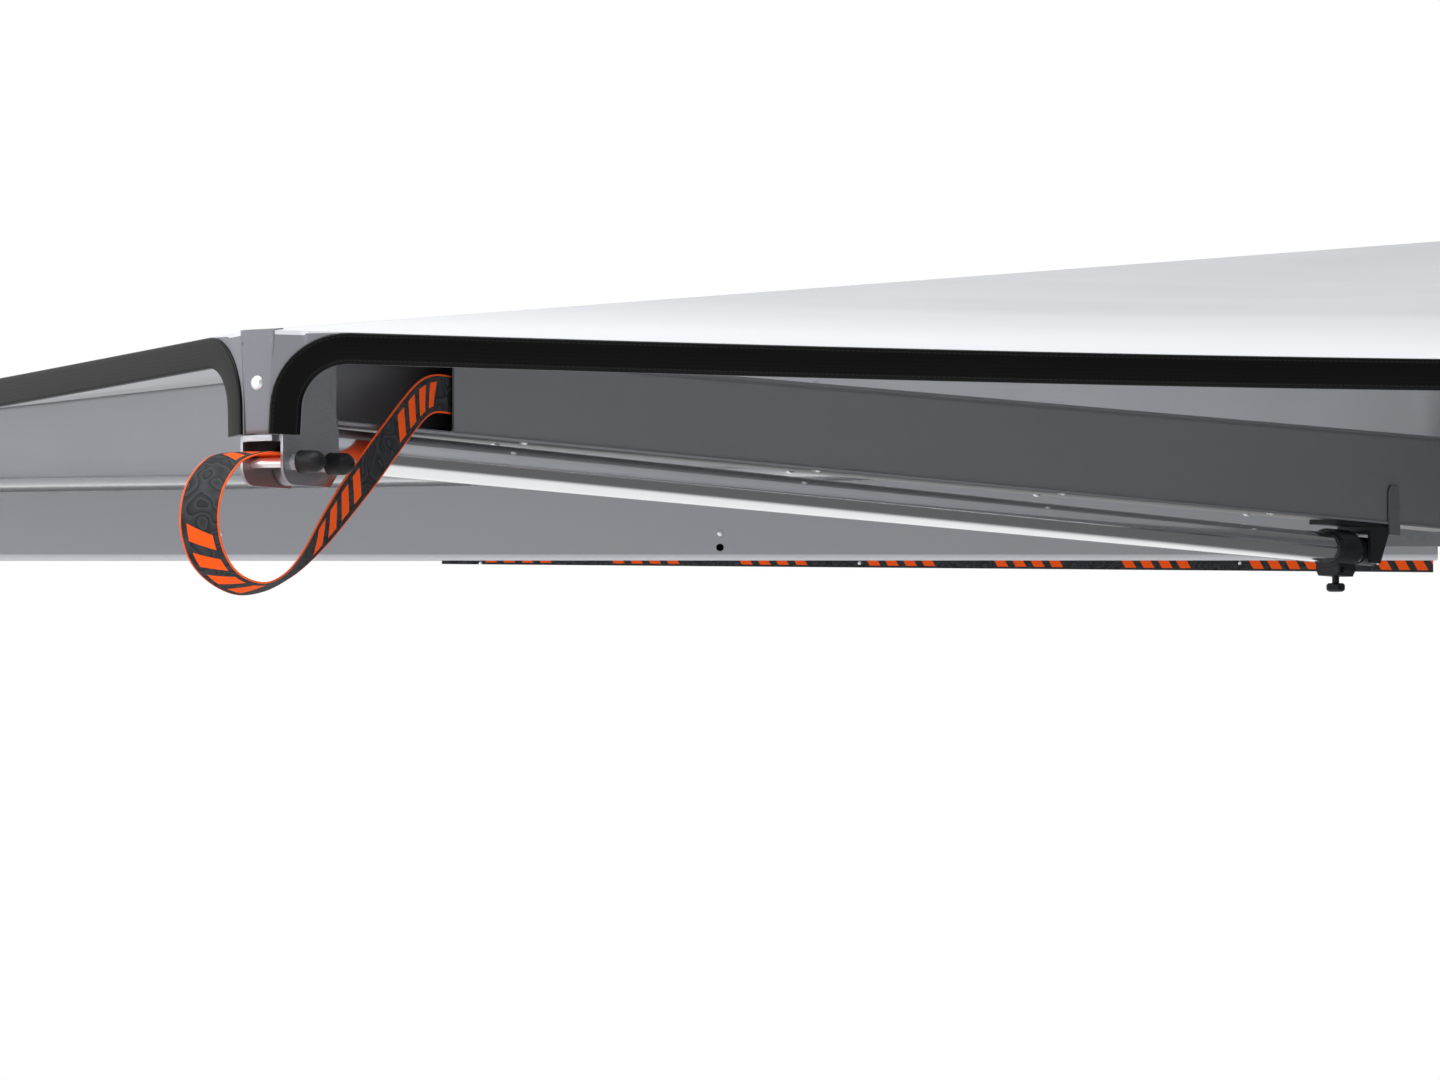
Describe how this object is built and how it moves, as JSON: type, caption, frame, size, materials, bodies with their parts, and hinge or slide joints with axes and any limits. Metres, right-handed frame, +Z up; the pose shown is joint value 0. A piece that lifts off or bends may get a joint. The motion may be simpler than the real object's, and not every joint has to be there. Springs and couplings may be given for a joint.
{
  "type": "swing out fan awning",
  "caption": "Vehicle-mounted fan awning: a fixed backbone, swinging arms on one post, a folding telescopic leg under each arm and a pitched canopy.",
  "frame": {"origin": "middle of the line of mounting bolts, on the backbone's back face", "axes": "+X along the vehicle towards the post and the last arm, +Y into the vehicle, +Z up"},
  "size_m": [5.1195, 2.3685, 0.4961],
  "materials": {
    "backbone_face": "satin powder coat",
    "arm_face": "satin powder coat",
    "rail": "bright",
    "bracket": "zinc plated",
    "fastener": "zinc plated",
    "post": "turned",
    "washer": "nylon",
    "bush": "turned",
    "crown": "moulded",
    "canopy_cloth": "coated woven cloth",
    "webbing": "woven webbing",
    "rubber": "moulded",
    "black_plastic": "moulded",
    "hanger": "zinc plated",
    "fitting": "cast",
    "leg_tube": "satin anodised",
    "inner_tube": "satin anodised"
  },
  "bodies": {
    "backbone": {"backbone_beam": "backbone_face", "backbone_rail": "rail", "backbone_knuckle": "bracket", "backbone_tip_bracket": "bracket", "backbone_fasteners": "fastener", "backbone_strap": "webbing", "post": "post", "post_nuts": "fastener", "knuckle_washers": "washer", "canopy_crown": "crown", "rear_wall": "canopy_cloth"},
    "arm_1": {"arm_1_beam": "arm_face", "arm_1_knuckle": "bracket", "arm_1_bushes": "bush", "arm_1_tip_bracket": "bracket", "arm_1_fasteners": "fastener", "arm_1_bolt_caps": "rubber", "arm_1_clip": "black_plastic", "arm_1_clip_hanger": "hanger", "arm_1_strap": "webbing", "canopy_1": "canopy_cloth"},
    "leg_1": {"leg_1_fitting": "fitting", "leg_1_outer_tube": "leg_tube", "leg_1_collar": "black_plastic"},
    "leg_1_slider": {"leg_1_inner_tube": "inner_tube", "leg_1_foot": "rubber"},
    "leg_1_screw": {"leg_1_thumb_screw": "black_plastic"},
    "arm_2": {"arm_2_beam": "arm_face", "arm_2_knuckle": "bracket", "arm_2_bushes": "bush", "arm_2_tip_bracket": "bracket", "arm_2_fasteners": "fastener", "arm_2_bolt_caps": "rubber", "arm_2_clip": "black_plastic", "arm_2_clip_hanger": "hanger", "arm_2_strap": "webbing", "canopy_2": "canopy_cloth"},
    "leg_2": {"leg_2_fitting": "fitting", "leg_2_outer_tube": "leg_tube", "leg_2_collar": "black_plastic"},
    "leg_2_slider": {"leg_2_inner_tube": "inner_tube", "leg_2_foot": "rubber"},
    "leg_2_screw": {"leg_2_thumb_screw": "black_plastic"},
    "arm_3": {"arm_3_beam": "arm_face", "arm_3_knuckle": "bracket", "arm_3_bushes": "bush", "arm_3_tip_bracket": "bracket", "arm_3_fasteners": "fastener", "arm_3_bolt_caps": "rubber", "arm_3_clip": "black_plastic", "arm_3_clip_hanger": "hanger", "arm_3_strap": "webbing", "canopy_3": "canopy_cloth"},
    "leg_3": {"leg_3_fitting": "fitting", "leg_3_outer_tube": "leg_tube", "leg_3_collar": "black_plastic"},
    "leg_3_slider": {"leg_3_inner_tube": "inner_tube", "leg_3_foot": "rubber"},
    "leg_3_screw": {"leg_3_thumb_screw": "black_plastic"}
  },
  "joints": [
    {"name": "arm_1_swing", "type": "hinge", "parent": "backbone", "child": "arm_1", "pos_m": [1.215, -0.092, 0.053], "axis": [0, 0, 1], "range_deg": [-59.3, 0], "deforming": ["canopy_1"]},
    {"name": "arm_2_swing", "type": "hinge", "parent": "arm_1", "child": "arm_2", "pos_m": [1.215, -0.092, 0.053], "axis": [0, 0, 1], "range_deg": [-59.3, 0], "deforming": ["canopy_2"]},
    {"name": "arm_3_swing", "type": "hinge", "parent": "arm_2", "child": "arm_3", "pos_m": [1.215, -0.092, 0.053], "axis": [0, 0, 1], "range_deg": [-59.3, 0], "deforming": ["canopy_3"]},
    {"name": "leg_1_fold", "type": "hinge", "parent": "arm_1", "child": "leg_1", "pos_m": [-0.03378, -2.20696, -0.018], "axis": [-0.866, 0.5, 0], "range_deg": [0, 92]},
    {"name": "leg_1_extend", "type": "slide", "parent": "leg_1", "child": "leg_1_slider", "axis": [0.5, 0.866, -0.0063], "range_m": [0, 0.35]},
    {"name": "leg_1_thumb_turn", "type": "hinge", "parent": "leg_1", "child": "leg_1_screw", "pos_m": [0.99411, -0.42658, -0.05642], "axis": [0.0031, 0.0054, 1], "range_deg": [0, 360]},
    {"name": "leg_2_fold", "type": "hinge", "parent": "arm_2", "child": "leg_2", "pos_m": [2.46378, -2.20696, -0.018], "axis": [-0.866, -0.5, 0], "range_deg": [0, 92]},
    {"name": "leg_2_extend", "type": "slide", "parent": "leg_2", "child": "leg_2_slider", "axis": [-0.5, 0.866, -0.0063], "range_m": [0, 0.35]},
    {"name": "leg_2_thumb_turn", "type": "hinge", "parent": "leg_2", "child": "leg_2_screw", "pos_m": [1.43589, -0.42658, -0.05642], "axis": [-0.0031, 0.0054, 1], "range_deg": [0, 360]},
    {"name": "leg_3_fold", "type": "hinge", "parent": "arm_3", "child": "leg_3", "pos_m": [3.671, -0.02, -0.018], "axis": [0, -1, 0], "range_deg": [0, 92]},
    {"name": "leg_3_extend", "type": "slide", "parent": "leg_3", "child": "leg_3_slider", "axis": [-1, 0, -0.0063], "range_m": [0, 0.35]},
    {"name": "leg_3_thumb_turn", "type": "hinge", "parent": "leg_3", "child": "leg_3_screw", "pos_m": [1.6152, -0.02, -0.05642], "axis": [-0.0063, 0, 1], "range_deg": [0, 360]}
  ]
}
